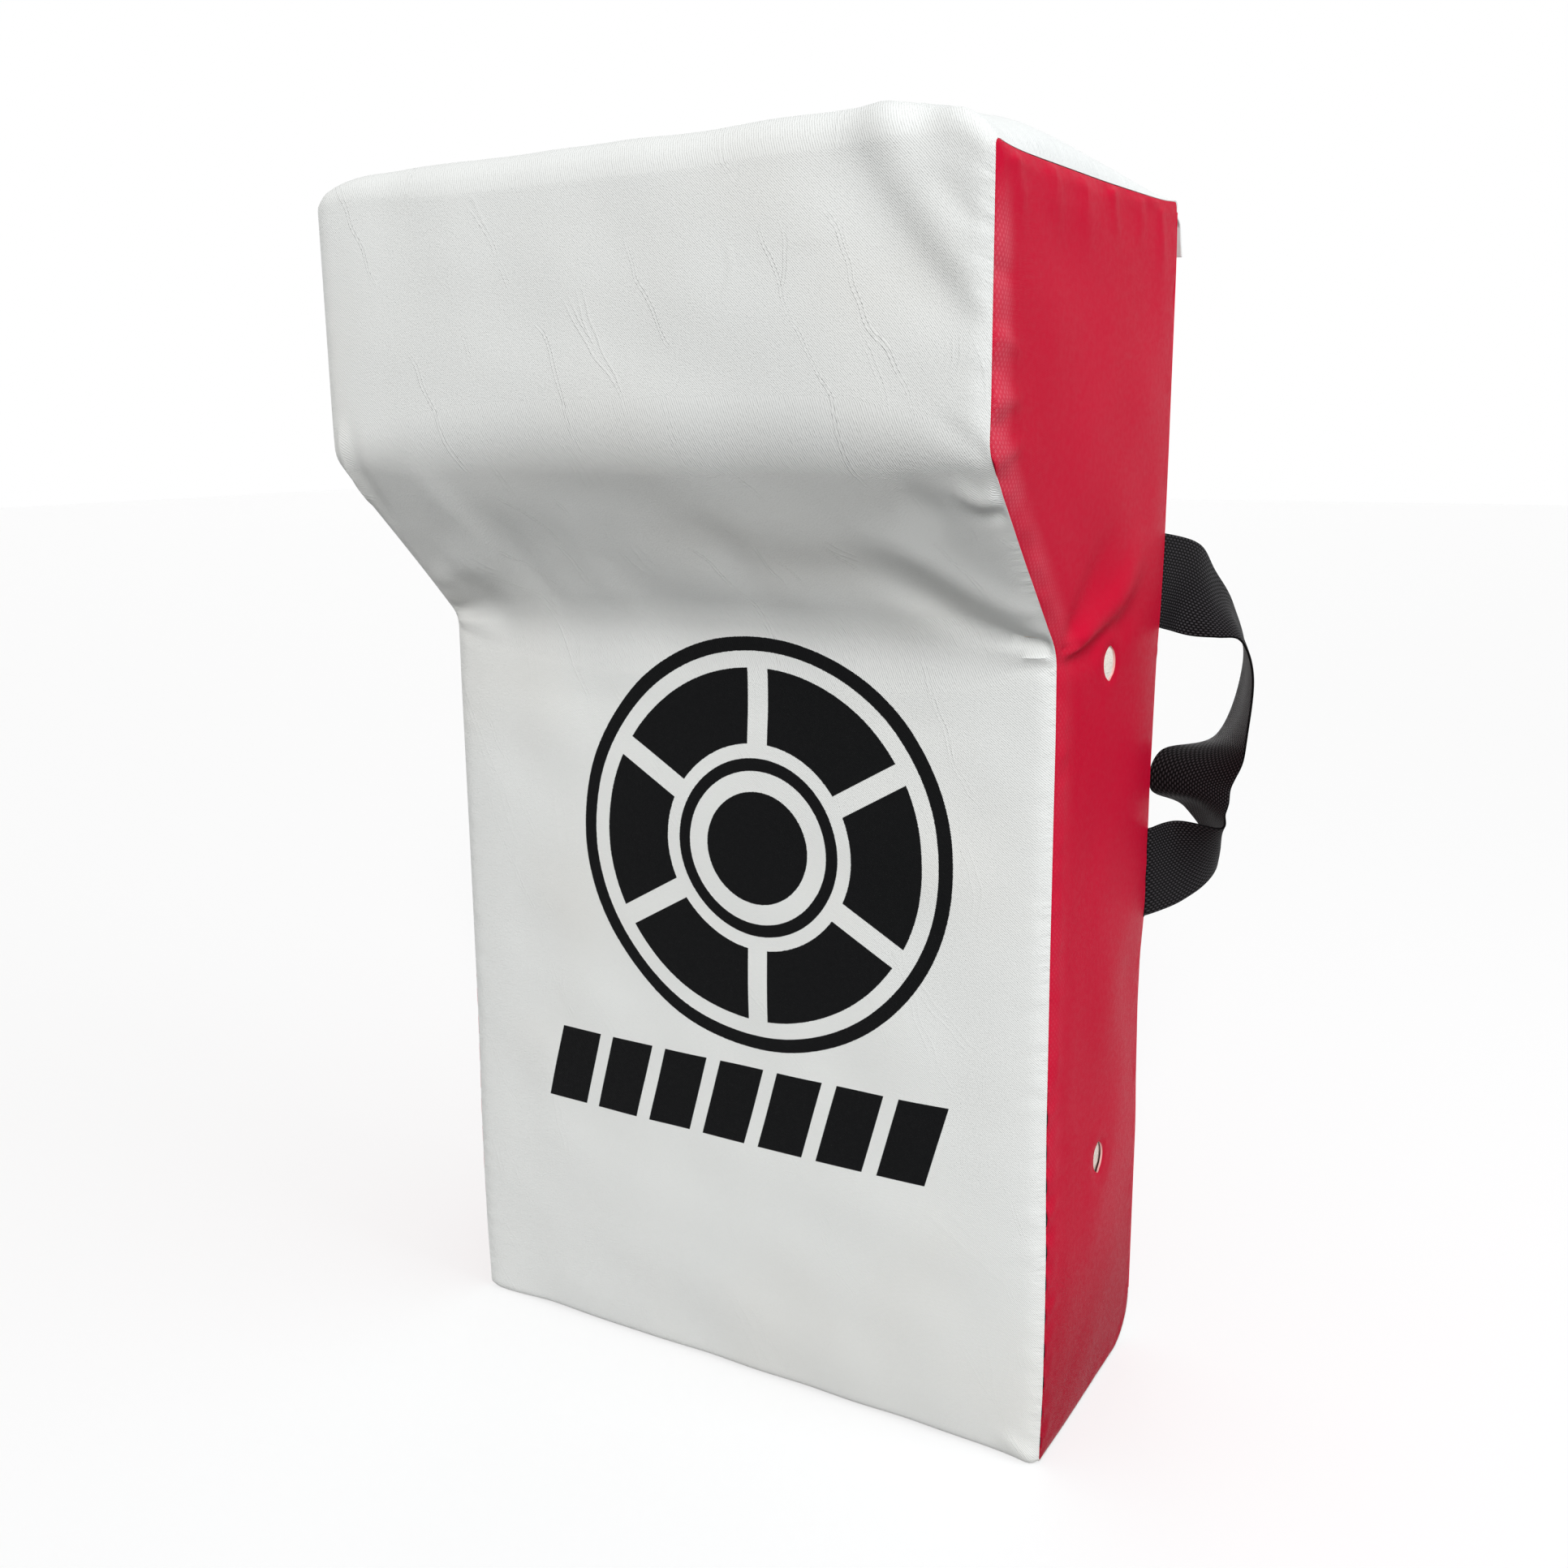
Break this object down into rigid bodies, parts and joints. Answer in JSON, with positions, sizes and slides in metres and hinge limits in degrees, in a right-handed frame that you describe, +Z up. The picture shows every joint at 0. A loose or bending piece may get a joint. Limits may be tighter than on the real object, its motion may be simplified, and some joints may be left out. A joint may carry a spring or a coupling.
{
  "type": "rugby hit shield",
  "caption": "Padded wedge-headed tackle shield: foam layers in a sewn coated-cloth cover with a hook-and-loop closure flap and a webbing handle at each rear corner.",
  "frame": {"origin": "middle of the flat bottom face, on the floor", "axes": "+Z up the shield, -Y towards the strike face, +X towards the side that shows in the picture"},
  "size_m": [0.5462, 0.3735, 0.78],
  "materials": {
    "white_leatherette": "satin",
    "red_coated_cloth": "satin",
    "black_webbing": "matte",
    "backing_cloth": "matte",
    "cream_foam": "matte",
    "firm_foam": "matte",
    "hook_tape": "matte",
    "loop_tape": "matte"
  },
  "bodies": {
    "cover_and_core": {"front_panel": "white_leatherette", "bottom_panel": "white_leatherette", "back_panel": "red_coated_cloth", "right_side_panel": "red_coated_cloth", "left_side_panel": "red_coated_cloth", "foam_backer": "firm_foam", "foam_core": "cream_foam", "foam_head_wedge": "cream_foam", "loop_tape": "loop_tape", "right_handle_upper_tail": "black_webbing", "right_handle_lower_tail": "black_webbing", "left_handle_upper_tail": "black_webbing", "left_handle_lower_tail": "black_webbing", "right_anchor_backing": "backing_cloth", "left_anchor_backing": "backing_cloth"},
    "flap": {"closure_flap": "white_leatherette", "hook_tape": "hook_tape"},
    "right_handle": {"right_handle": "black_webbing"},
    "left_handle": {"left_handle": "black_webbing"}
  },
  "joints": [
    {"name": "flap_hinge", "type": "hinge", "parent": "cover_and_core", "child": "flap", "pos_m": [0, 0.0878, 0.752], "axis": [1, 0, 0], "range_deg": [-13.5, 144]},
    {"name": "right_handle_swing", "type": "hinge", "parent": "cover_and_core", "child": "right_handle", "pos_m": [0.2183, 0.0873, 0.4335], "axis": [0, 0, 1], "range_deg": [-105, 64]},
    {"name": "left_handle_swing", "type": "hinge", "parent": "cover_and_core", "child": "left_handle", "pos_m": [-0.2183, 0.0873, 0.4335], "axis": [0, 0, -1], "range_deg": [-105, 64]}
  ]
}
